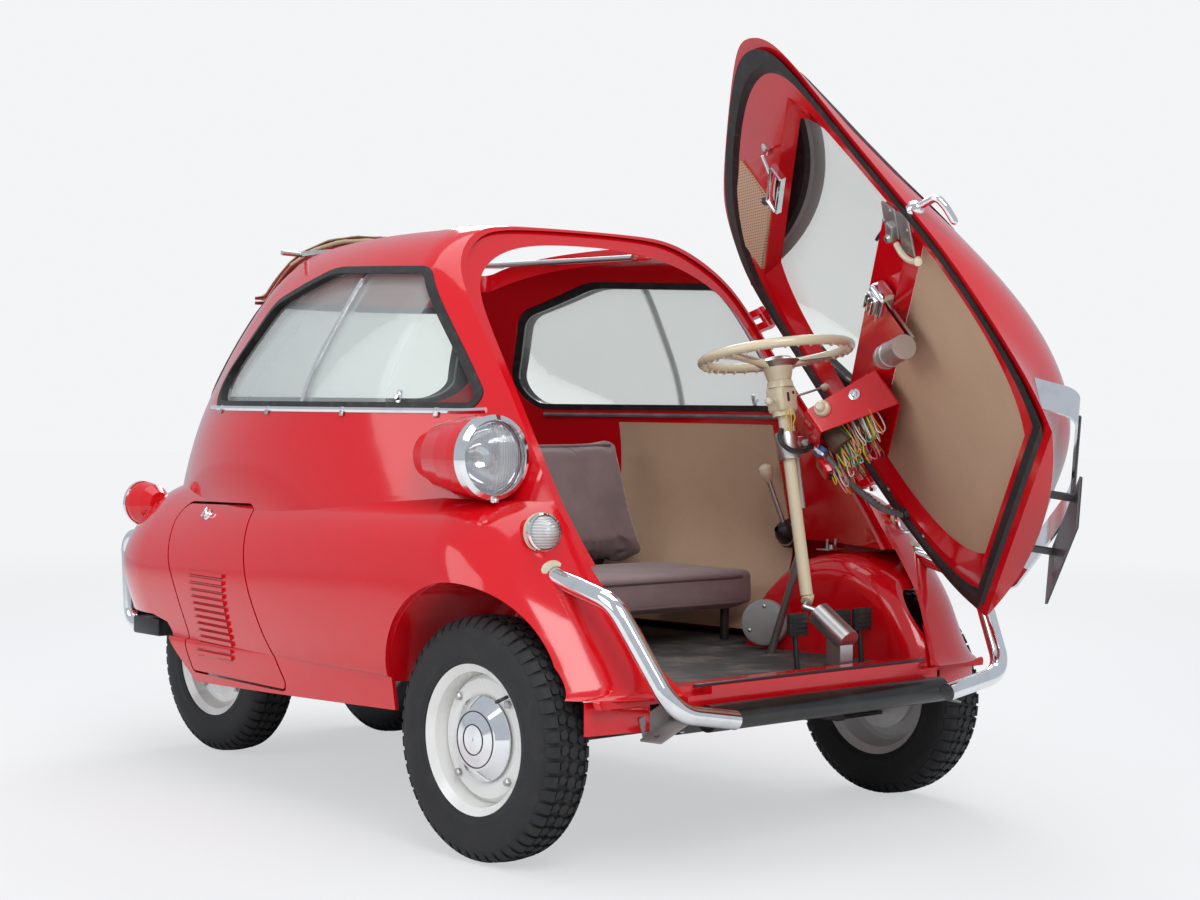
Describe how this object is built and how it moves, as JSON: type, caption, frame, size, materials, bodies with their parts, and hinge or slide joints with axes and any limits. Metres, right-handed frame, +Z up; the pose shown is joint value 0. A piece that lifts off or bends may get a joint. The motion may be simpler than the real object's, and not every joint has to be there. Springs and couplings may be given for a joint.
{
  "type": "bubble car",
  "caption": "Small two-seat bubble car with a single front-opening door standing open, folding fabric roof, twin rear wheels set close together and a side engine hatch.",
  "frame": {"origin": "middle of the whole car's box on the ground, with the door open as parked", "axes": "+X to the car's left, +Y to its rear, +Z up; the door faces -Y"},
  "size_m": [1.3796, 2.7698, 1.6903],
  "materials": {
    "body_paint": "gloss red enamel with fine orange peel",
    "chassis_paint": "satin black paint with road dust",
    "white_paint": "semi-gloss white paint on pressed steel",
    "cream_paint": "gloss cream paint",
    "chrome": "polished chrome plate",
    "aluminium": "cast aluminium, satin",
    "tyre_rubber": "black tyre rubber, dusty tread",
    "seal_rubber": "matt black extruded rubber",
    "clear_glass": "clear, faint green edge",
    "lamp_glass": "clear fluted glass",
    "red_glass": "red ribbed lens",
    "velour": "mauve-taupe velour with piped edges",
    "tan_card": "tan grained leathercloth over board",
    "roof_fabric": "red coated roof canvas, tan inside",
    "engine_metal": "dull grey castings",
    "floor_mat": "ribbed black rubber mat over painted steel"
  },
  "bodies": {
    "root": {"front_fenders": "body_paint", "lower_body": "body_paint", "cabin_shell": "body_paint", "cabin_windows": "clear_glass", "window_dividers": "aluminium", "window_seals": "seal_rubber", "floor_pan": "floor_mat", "front_sill": "body_paint", "rear_bulkhead": "body_paint", "wheelhouses": "body_paint", "side_cards": "tan_card", "chassis_frame": "chassis_paint", "front_suspension": "chassis_paint", "rear_suspension": "chassis_paint", "engine_block": "engine_metal", "exhaust": "engine_metal", "seat_cushion": "velour", "seat_back": "velour", "seat_frame": "chassis_paint", "headlamp_buckets": "body_paint", "headlamp_rings": "chrome", "headlamp_lenses": "lamp_glass", "lamp_pods": "body_paint", "turn_signal_lenses": "lamp_glass", "tail_lamp_lenses": "red_glass", "front_bumpers": "chrome", "rear_bumpers": "chrome", "bumper_bars": "chassis_paint", "roof_canvas": "roof_fabric", "roof_arms": "chrome", "steering_gear": "aluminium", "pedals": "chassis_paint", "hand_levers": "chrome", "door_hinge_pins": "body_paint"},
    "door": {"door_shell": "body_paint", "windshield": "clear_glass", "windshield_seal": "seal_rubber", "door_card": "tan_card", "door_seal": "seal_rubber", "door_handle": "chrome", "nose_bar": "chrome", "number_plate": "chassis_paint", "sun_visor": "tan_card", "mirror": "chrome", "wiper_motor": "aluminium", "instrument_pod": "body_paint", "door_hinge_leaves": "body_paint"},
    "engine_cover": {"engine_hatch": "body_paint"},
    "steering_shaft": {"steering_column": "cream_paint"},
    "steering_rim": {"steering_wheel": "cream_paint"},
    "knuckle_l": {"knuckle_left": "chassis_paint"},
    "knuckle_r": {"knuckle_right": "chassis_paint"},
    "front_wheel_l": {"front_tyre_left": "tyre_rubber", "front_rim_left": "white_paint", "hub_cap_left": "chrome"},
    "front_wheel_r": {"front_tyre_right": "tyre_rubber", "front_rim_right": "white_paint", "hub_cap_right": "chrome"},
    "rear_axle": {"rear_tyres": "tyre_rubber", "rear_rims": "white_paint"}
  },
  "joints": [
    {"name": "door_hinge", "type": "hinge", "parent": "root", "child": "door", "pos_m": [0.511, -0.576, 0.67], "axis": [-0.0765, 0.6189, 0.7817], "range_deg": [-56, 0]},
    {"name": "column_tilt", "type": "hinge", "parent": "root", "child": "steering_shaft", "pos_m": [0.188, -0.618, 0.485], "axis": [-0.6867, -0.2952, -0.6643], "range_deg": [0, 77.4]},
    {"name": "steering_spin", "type": "hinge", "parent": "steering_shaft", "child": "steering_rim", "pos_m": [0.188, -0.523, 0.993], "axis": [0, 0.1838, 0.983], "range_deg": [-360, 360]},
    {"name": "steer_left", "type": "hinge", "parent": "root", "child": "knuckle_l", "pos_m": [0.555, -0.498, 0.245], "axis": [0, 0, 1], "range_deg": [-30, 30]},
    {"name": "steer_right", "type": "hinge", "parent": "root", "child": "knuckle_r", "pos_m": [-0.555, -0.498, 0.245], "axis": [0, 0, 1], "range_deg": [-30, 30]},
    {"name": "wheel_spin_left", "type": "hinge", "parent": "knuckle_l", "child": "front_wheel_l", "pos_m": [0.6, -0.498, 0.245], "axis": [1, 0, 0], "continuous": true},
    {"name": "wheel_spin_right", "type": "hinge", "parent": "knuckle_r", "child": "front_wheel_r", "pos_m": [-0.6, -0.498, 0.245], "axis": [1, 0, 0], "continuous": true},
    {"name": "rear_spin", "type": "hinge", "parent": "root", "child": "rear_axle", "pos_m": [0, 1.002, 0.245], "axis": [1, 0, 0], "continuous": true},
    {"name": "hatch_hinge", "type": "hinge", "parent": "root", "child": "engine_cover", "pos_m": [-0.603, 0.592, 0.268], "axis": [-0.0781, -0.9969, 0], "range_deg": [0, 60]}
  ],
  "couplings": [
    {"joint": "column_tilt", "follows": "door_hinge", "ratio": -1.3786},
    {"joint": "steer_left", "follows": "steering_spin", "ratio": 0.08333},
    {"joint": "steer_right", "follows": "steering_spin", "ratio": 0.08333}
  ]
}
